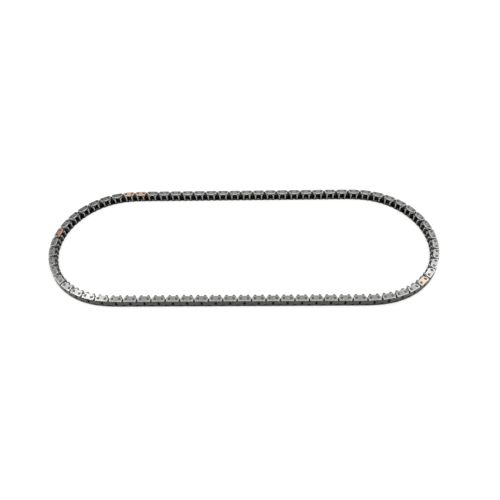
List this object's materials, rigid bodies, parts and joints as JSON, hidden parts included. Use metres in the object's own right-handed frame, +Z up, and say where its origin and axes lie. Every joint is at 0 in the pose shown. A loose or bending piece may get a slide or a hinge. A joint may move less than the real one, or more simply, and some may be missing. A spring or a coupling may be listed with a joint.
{
  "type": "silent timing chain",
  "caption": "Endless inverted-tooth timing chain lying as a long loop, with laced toothed plates, outer guide plates on riveted pins and coloured timing marks.",
  "frame": {"origin": "middle of the loop, on the plane that the pins' lower ends rest on", "axes": "+X along the two straight runs, +Y from the front run to the far run, +Z up along the pins"},
  "size_m": [0.4758, 0.181, 0.0102],
  "materials": {
    "link_steel": "tumbled",
    "marker_pale": "matte",
    "marker_pink": "matte",
    "marker_orange": "matte"
  },
  "bodies": {
    "section_01": {"links_01": "link_steel"},
    "section_02": {"links_02": "link_steel"},
    "section_03": {"links_03": "link_steel"},
    "section_04": {"links_04": "link_steel"},
    "section_05": {"links_05": "link_steel"},
    "section_06": {"links_06": "link_steel"},
    "section_07": {"links_07": "link_steel"},
    "section_08": {"links_08": "link_steel"},
    "section_09": {"links_09": "link_steel"},
    "section_10": {"links_10": "link_steel"},
    "section_11": {"links_11": "link_steel"},
    "section_12": {"links_12": "link_steel"},
    "section_13": {"links_13": "link_steel"},
    "section_14": {"links_14": "link_steel"},
    "section_15": {"links_15": "link_steel"},
    "section_16": {"links_16": "link_steel"},
    "section_17": {"links_17": "link_steel"},
    "section_18": {"links_18": "link_steel", "marker_plate_1": "marker_pale"},
    "section_19": {"links_19": "link_steel"},
    "section_20": {"links_20": "link_steel"},
    "section_21": {"links_21": "link_steel"},
    "section_22": {"links_22": "link_steel"},
    "section_23": {"links_23": "link_steel"},
    "section_24": {"links_24": "link_steel"},
    "section_25": {"links_25": "link_steel"},
    "section_26": {"links_26": "link_steel"},
    "section_27": {"links_27": "link_steel"},
    "section_28": {"links_28": "link_steel"},
    "section_29": {"links_29": "link_steel"},
    "section_30": {"links_30": "link_steel"},
    "section_31": {"links_31": "link_steel"},
    "section_32": {"links_32": "link_steel"},
    "section_33": {"links_33": "link_steel"},
    "section_34": {"links_34": "link_steel"},
    "section_35": {"links_35": "link_steel"},
    "section_36": {"links_36": "link_steel"},
    "section_37": {"links_37": "link_steel"},
    "section_38": {"links_38": "link_steel"},
    "section_39": {"links_39": "link_steel"},
    "section_40": {"links_40": "link_steel"},
    "section_41": {"links_41": "link_steel"},
    "section_42": {"links_42": "link_steel", "marker_plate_2": "marker_pink"},
    "section_43": {"links_43": "link_steel", "marker_plate_3": "marker_pink"},
    "section_44": {"links_44": "link_steel"},
    "section_45": {"links_45": "link_steel"},
    "section_46": {"links_46": "link_steel"},
    "section_47": {"links_47": "link_steel"},
    "section_48": {"links_48": "link_steel"},
    "section_49": {"links_49": "link_steel", "marker_plate_4": "marker_orange"},
    "section_50": {"links_50": "link_steel"},
    "section_51": {"links_51": "link_steel"},
    "section_52": {"links_52": "link_steel"},
    "section_53": {"links_53": "link_steel"},
    "section_54": {"links_54": "link_steel"},
    "section_55": {"links_55": "link_steel"},
    "section_56": {"links_56": "link_steel"}
  },
  "joints": [
    {"name": "hinge_08_09", "type": "hinge", "parent": "section_08", "child": "section_09", "pos_m": [0.024, -0.08726, 0.0051], "axis": [0, 0, 1], "range_deg": [-4, 6]},
    {"name": "hinge_09_10", "type": "hinge", "parent": "section_09", "child": "section_10", "pos_m": [0.04, -0.08726, 0.0051], "axis": [0, 0, 1], "range_deg": [-4, 6]},
    {"name": "hinge_10_11", "type": "hinge", "parent": "section_10", "child": "section_11", "pos_m": [0.064, -0.08726, 0.0051], "axis": [0, 0, 1], "range_deg": [-4, 6]},
    {"name": "hinge_11_12", "type": "hinge", "parent": "section_11", "child": "section_12", "pos_m": [0.08, -0.08726, 0.0051], "axis": [0, 0, 1], "range_deg": [-4, 6]},
    {"name": "hinge_12_13", "type": "hinge", "parent": "section_12", "child": "section_13", "pos_m": [0.104, -0.08726, 0.0051], "axis": [0, 0, 1], "range_deg": [-4, 6]},
    {"name": "hinge_13_14", "type": "hinge", "parent": "section_13", "child": "section_14", "pos_m": [0.12, -0.08726, 0.0051], "axis": [0, 0, 1], "range_deg": [-4, 6]},
    {"name": "hinge_14_15", "type": "hinge", "parent": "section_14", "child": "section_15", "pos_m": [0.144, -0.08711, 0.0051], "axis": [0, 0, 1], "range_deg": [-4, 6]},
    {"name": "hinge_15_16", "type": "hinge", "parent": "section_15", "child": "section_16", "pos_m": [0.1678, -0.08431, 0.0051], "axis": [0, 0, 1], "range_deg": [-6.92, 4.62]},
    {"name": "hinge_16_17", "type": "hinge", "parent": "section_16", "child": "section_17", "pos_m": [0.18296, -0.07923, 0.0051], "axis": [0, 0, 1], "range_deg": [-6.92, 4.62]},
    {"name": "hinge_17_18", "type": "hinge", "parent": "section_17", "child": "section_18", "pos_m": [0.2033, -0.06663, 0.0051], "axis": [0, 0, 1], "range_deg": [-6.92, 4.62]},
    {"name": "hinge_18_19", "type": "hinge", "parent": "section_18", "child": "section_19", "pos_m": [0.2146, -0.05533, 0.0051], "axis": [0, 0, 1], "range_deg": [-6.92, 4.62]},
    {"name": "hinge_19_20", "type": "hinge", "parent": "section_19", "child": "section_20", "pos_m": [0.2272, -0.03498, 0.0051], "axis": [0, 0, 1], "range_deg": [-6.92, 4.62]},
    {"name": "hinge_20_21", "type": "hinge", "parent": "section_20", "child": "section_21", "pos_m": [0.23228, -0.01983, 0.0051], "axis": [0, 0, 1], "range_deg": [-6.92, 4.62]},
    {"name": "hinge_21_22", "type": "hinge", "parent": "section_21", "child": "section_22", "pos_m": [0.23449, 0.004, 0.0051], "axis": [0, 0, 1], "range_deg": [-6.92, 4.62]},
    {"name": "hinge_22_23", "type": "hinge", "parent": "section_22", "child": "section_23", "pos_m": [0.23228, 0.01983, 0.0051], "axis": [0, 0, 1], "range_deg": [-6.92, 4.62]},
    {"name": "hinge_23_24", "type": "hinge", "parent": "section_23", "child": "section_24", "pos_m": [0.22364, 0.04215, 0.0051], "axis": [0, 0, 1], "range_deg": [-6.92, 4.62]},
    {"name": "hinge_24_25", "type": "hinge", "parent": "section_24", "child": "section_25", "pos_m": [0.2146, 0.05533, 0.0051], "axis": [0, 0, 1], "range_deg": [-6.92, 4.62]},
    {"name": "hinge_25_26", "type": "hinge", "parent": "section_25", "child": "section_26", "pos_m": [0.19692, 0.07145, 0.0051], "axis": [0, 0, 1], "range_deg": [-6.92, 4.62]},
    {"name": "hinge_26_27", "type": "hinge", "parent": "section_26", "child": "section_27", "pos_m": [0.18296, 0.07923, 0.0051], "axis": [0, 0, 1], "range_deg": [-6.92, 4.62]},
    {"name": "hinge_27_28", "type": "hinge", "parent": "section_27", "child": "section_28", "pos_m": [0.15994, 0.08578, 0.0051], "axis": [0, 0, 1], "range_deg": [-6.92, 4.62]},
    {"name": "hinge_28_29", "type": "hinge", "parent": "section_28", "child": "section_29", "pos_m": [0.136, 0.08726, 0.0051], "axis": [0, 0, 1], "range_deg": [-4, 6]},
    {"name": "hinge_29_30", "type": "hinge", "parent": "section_29", "child": "section_30", "pos_m": [0.12, 0.08726, 0.0051], "axis": [0, 0, 1], "range_deg": [-4, 6]},
    {"name": "hinge_30_31", "type": "hinge", "parent": "section_30", "child": "section_31", "pos_m": [0.096, 0.08726, 0.0051], "axis": [0, 0, 1], "range_deg": [-4, 6]},
    {"name": "hinge_31_32", "type": "hinge", "parent": "section_31", "child": "section_32", "pos_m": [0.08, 0.08726, 0.0051], "axis": [0, 0, 1], "range_deg": [-4, 6]},
    {"name": "hinge_32_33", "type": "hinge", "parent": "section_32", "child": "section_33", "pos_m": [0.056, 0.08726, 0.0051], "axis": [0, 0, 1], "range_deg": [-4, 6]},
    {"name": "hinge_33_34", "type": "hinge", "parent": "section_33", "child": "section_34", "pos_m": [0.04, 0.08726, 0.0051], "axis": [0, 0, 1], "range_deg": [-4, 6]},
    {"name": "hinge_34_35", "type": "hinge", "parent": "section_34", "child": "section_35", "pos_m": [0.016, 0.08726, 0.0051], "axis": [0, 0, 1], "range_deg": [-4, 6]},
    {"name": "hinge_07_08", "type": "hinge", "parent": "section_08", "child": "section_07", "pos_m": [0, -0.08726, 0.0051], "axis": [0, 0, -1], "range_deg": [-4, 6]},
    {"name": "hinge_06_07", "type": "hinge", "parent": "section_07", "child": "section_06", "pos_m": [-0.016, -0.08726, 0.0051], "axis": [0, 0, -1], "range_deg": [-4, 6]},
    {"name": "hinge_05_06", "type": "hinge", "parent": "section_06", "child": "section_05", "pos_m": [-0.04, -0.08726, 0.0051], "axis": [0, 0, -1], "range_deg": [-4, 6]},
    {"name": "hinge_04_05", "type": "hinge", "parent": "section_05", "child": "section_04", "pos_m": [-0.056, -0.08726, 0.0051], "axis": [0, 0, -1], "range_deg": [-4, 6]},
    {"name": "hinge_03_04", "type": "hinge", "parent": "section_04", "child": "section_03", "pos_m": [-0.08, -0.08726, 0.0051], "axis": [0, 0, -1], "range_deg": [-4, 6]},
    {"name": "hinge_02_03", "type": "hinge", "parent": "section_03", "child": "section_02", "pos_m": [-0.096, -0.08726, 0.0051], "axis": [0, 0, -1], "range_deg": [-4, 6]},
    {"name": "hinge_01_02", "type": "hinge", "parent": "section_02", "child": "section_01", "pos_m": [-0.12, -0.08726, 0.0051], "axis": [0, 0, -1], "range_deg": [-4, 6]},
    {"name": "hinge_56_01", "type": "hinge", "parent": "section_01", "child": "section_56", "pos_m": [-0.136, -0.08726, 0.0051], "axis": [0, 0, -1], "range_deg": [-4, 6]},
    {"name": "hinge_55_56", "type": "hinge", "parent": "section_56", "child": "section_55", "pos_m": [-0.15994, -0.08578, 0.0051], "axis": [0, 0, -1], "range_deg": [-6.92, 4.62]},
    {"name": "hinge_54_55", "type": "hinge", "parent": "section_55", "child": "section_54", "pos_m": [-0.18296, -0.07923, 0.0051], "axis": [0, 0, -1], "range_deg": [-6.92, 4.62]},
    {"name": "hinge_53_54", "type": "hinge", "parent": "section_54", "child": "section_53", "pos_m": [-0.19692, -0.07145, 0.0051], "axis": [0, 0, -1], "range_deg": [-6.92, 4.62]},
    {"name": "hinge_52_53", "type": "hinge", "parent": "section_53", "child": "section_52", "pos_m": [-0.2146, -0.05533, 0.0051], "axis": [0, 0, -1], "range_deg": [-6.92, 4.62]},
    {"name": "hinge_51_52", "type": "hinge", "parent": "section_52", "child": "section_51", "pos_m": [-0.22364, -0.04215, 0.0051], "axis": [0, 0, -1], "range_deg": [-6.92, 4.62]},
    {"name": "hinge_50_51", "type": "hinge", "parent": "section_51", "child": "section_50", "pos_m": [-0.23228, -0.01983, 0.0051], "axis": [0, 0, -1], "range_deg": [-6.92, 4.62]},
    {"name": "hinge_49_50", "type": "hinge", "parent": "section_50", "child": "section_49", "pos_m": [-0.23449, -0.004, 0.0051], "axis": [0, 0, -1], "range_deg": [-6.92, 4.62]},
    {"name": "hinge_48_49", "type": "hinge", "parent": "section_49", "child": "section_48", "pos_m": [-0.23228, 0.01983, 0.0051], "axis": [0, 0, -1], "range_deg": [-6.92, 4.62]},
    {"name": "hinge_47_48", "type": "hinge", "parent": "section_48", "child": "section_47", "pos_m": [-0.2272, 0.03498, 0.0051], "axis": [0, 0, -1], "range_deg": [-6.92, 4.62]},
    {"name": "hinge_46_47", "type": "hinge", "parent": "section_47", "child": "section_46", "pos_m": [-0.2146, 0.05533, 0.0051], "axis": [0, 0, -1], "range_deg": [-6.92, 4.62]},
    {"name": "hinge_45_46", "type": "hinge", "parent": "section_46", "child": "section_45", "pos_m": [-0.2033, 0.06663, 0.0051], "axis": [0, 0, -1], "range_deg": [-6.92, 4.62]},
    {"name": "hinge_44_45", "type": "hinge", "parent": "section_45", "child": "section_44", "pos_m": [-0.18296, 0.07923, 0.0051], "axis": [0, 0, -1], "range_deg": [-6.92, 4.62]},
    {"name": "hinge_43_44", "type": "hinge", "parent": "section_44", "child": "section_43", "pos_m": [-0.1678, 0.08431, 0.0051], "axis": [0, 0, -1], "range_deg": [-6.92, 4.62]},
    {"name": "hinge_42_43", "type": "hinge", "parent": "section_43", "child": "section_42", "pos_m": [-0.144, 0.08711, 0.0051], "axis": [0, 0, -1], "range_deg": [-4, 6]},
    {"name": "hinge_41_42", "type": "hinge", "parent": "section_42", "child": "section_41", "pos_m": [-0.12, 0.08726, 0.0051], "axis": [0, 0, -1], "range_deg": [-4, 6]},
    {"name": "hinge_40_41", "type": "hinge", "parent": "section_41", "child": "section_40", "pos_m": [-0.104, 0.08726, 0.0051], "axis": [0, 0, -1], "range_deg": [-4, 6]},
    {"name": "hinge_39_40", "type": "hinge", "parent": "section_40", "child": "section_39", "pos_m": [-0.08, 0.08726, 0.0051], "axis": [0, 0, -1], "range_deg": [-4, 6]},
    {"name": "hinge_38_39", "type": "hinge", "parent": "section_39", "child": "section_38", "pos_m": [-0.064, 0.08726, 0.0051], "axis": [0, 0, -1], "range_deg": [-4, 6]},
    {"name": "hinge_37_38", "type": "hinge", "parent": "section_38", "child": "section_37", "pos_m": [-0.04, 0.08726, 0.0051], "axis": [0, 0, -1], "range_deg": [-4, 6]},
    {"name": "hinge_36_37", "type": "hinge", "parent": "section_37", "child": "section_36", "pos_m": [-0.024, 0.08726, 0.0051], "axis": [0, 0, -1], "range_deg": [-4, 6]}
  ],
  "couplings": [
    {"joint": "hinge_09_10", "follows": "hinge_08_09", "ratio": 1},
    {"joint": "hinge_10_11", "follows": "hinge_08_09", "ratio": 1},
    {"joint": "hinge_11_12", "follows": "hinge_08_09", "ratio": 1},
    {"joint": "hinge_12_13", "follows": "hinge_08_09", "ratio": 1},
    {"joint": "hinge_13_14", "follows": "hinge_08_09", "ratio": 1},
    {"joint": "hinge_14_15", "follows": "hinge_08_09", "ratio": 1},
    {"joint": "hinge_15_16", "follows": "hinge_08_09", "ratio": -1.1538},
    {"joint": "hinge_16_17", "follows": "hinge_08_09", "ratio": -1.1538},
    {"joint": "hinge_17_18", "follows": "hinge_08_09", "ratio": -1.1538},
    {"joint": "hinge_18_19", "follows": "hinge_08_09", "ratio": -1.1538},
    {"joint": "hinge_19_20", "follows": "hinge_08_09", "ratio": -1.1538},
    {"joint": "hinge_20_21", "follows": "hinge_08_09", "ratio": -1.1538},
    {"joint": "hinge_21_22", "follows": "hinge_08_09", "ratio": -1.1538},
    {"joint": "hinge_22_23", "follows": "hinge_08_09", "ratio": -1.1538},
    {"joint": "hinge_23_24", "follows": "hinge_08_09", "ratio": -1.1538},
    {"joint": "hinge_24_25", "follows": "hinge_08_09", "ratio": -1.1538},
    {"joint": "hinge_25_26", "follows": "hinge_08_09", "ratio": -1.1538},
    {"joint": "hinge_26_27", "follows": "hinge_08_09", "ratio": -1.1538},
    {"joint": "hinge_27_28", "follows": "hinge_08_09", "ratio": -1.1538},
    {"joint": "hinge_28_29", "follows": "hinge_08_09", "ratio": 1},
    {"joint": "hinge_29_30", "follows": "hinge_08_09", "ratio": 1},
    {"joint": "hinge_30_31", "follows": "hinge_08_09", "ratio": 1},
    {"joint": "hinge_31_32", "follows": "hinge_08_09", "ratio": 1},
    {"joint": "hinge_32_33", "follows": "hinge_08_09", "ratio": 1},
    {"joint": "hinge_33_34", "follows": "hinge_08_09", "ratio": 1},
    {"joint": "hinge_34_35", "follows": "hinge_08_09", "ratio": 1},
    {"joint": "hinge_07_08", "follows": "hinge_08_09", "ratio": 1},
    {"joint": "hinge_06_07", "follows": "hinge_08_09", "ratio": 1},
    {"joint": "hinge_05_06", "follows": "hinge_08_09", "ratio": 1},
    {"joint": "hinge_04_05", "follows": "hinge_08_09", "ratio": 1},
    {"joint": "hinge_03_04", "follows": "hinge_08_09", "ratio": 1},
    {"joint": "hinge_02_03", "follows": "hinge_08_09", "ratio": 1},
    {"joint": "hinge_01_02", "follows": "hinge_08_09", "ratio": 1},
    {"joint": "hinge_56_01", "follows": "hinge_08_09", "ratio": 1},
    {"joint": "hinge_55_56", "follows": "hinge_08_09", "ratio": -1.1538},
    {"joint": "hinge_54_55", "follows": "hinge_08_09", "ratio": -1.1538},
    {"joint": "hinge_53_54", "follows": "hinge_08_09", "ratio": -1.1538},
    {"joint": "hinge_52_53", "follows": "hinge_08_09", "ratio": -1.1538},
    {"joint": "hinge_51_52", "follows": "hinge_08_09", "ratio": -1.1538},
    {"joint": "hinge_50_51", "follows": "hinge_08_09", "ratio": -1.1538},
    {"joint": "hinge_49_50", "follows": "hinge_08_09", "ratio": -1.1538},
    {"joint": "hinge_48_49", "follows": "hinge_08_09", "ratio": -1.1538},
    {"joint": "hinge_47_48", "follows": "hinge_08_09", "ratio": -1.1538},
    {"joint": "hinge_46_47", "follows": "hinge_08_09", "ratio": -1.1538},
    {"joint": "hinge_45_46", "follows": "hinge_08_09", "ratio": -1.1538},
    {"joint": "hinge_44_45", "follows": "hinge_08_09", "ratio": -1.1538},
    {"joint": "hinge_43_44", "follows": "hinge_08_09", "ratio": -1.1538},
    {"joint": "hinge_42_43", "follows": "hinge_08_09", "ratio": 1},
    {"joint": "hinge_41_42", "follows": "hinge_08_09", "ratio": 1},
    {"joint": "hinge_40_41", "follows": "hinge_08_09", "ratio": 1},
    {"joint": "hinge_39_40", "follows": "hinge_08_09", "ratio": 1},
    {"joint": "hinge_38_39", "follows": "hinge_08_09", "ratio": 1},
    {"joint": "hinge_37_38", "follows": "hinge_08_09", "ratio": 1},
    {"joint": "hinge_36_37", "follows": "hinge_08_09", "ratio": 1}
  ]
}
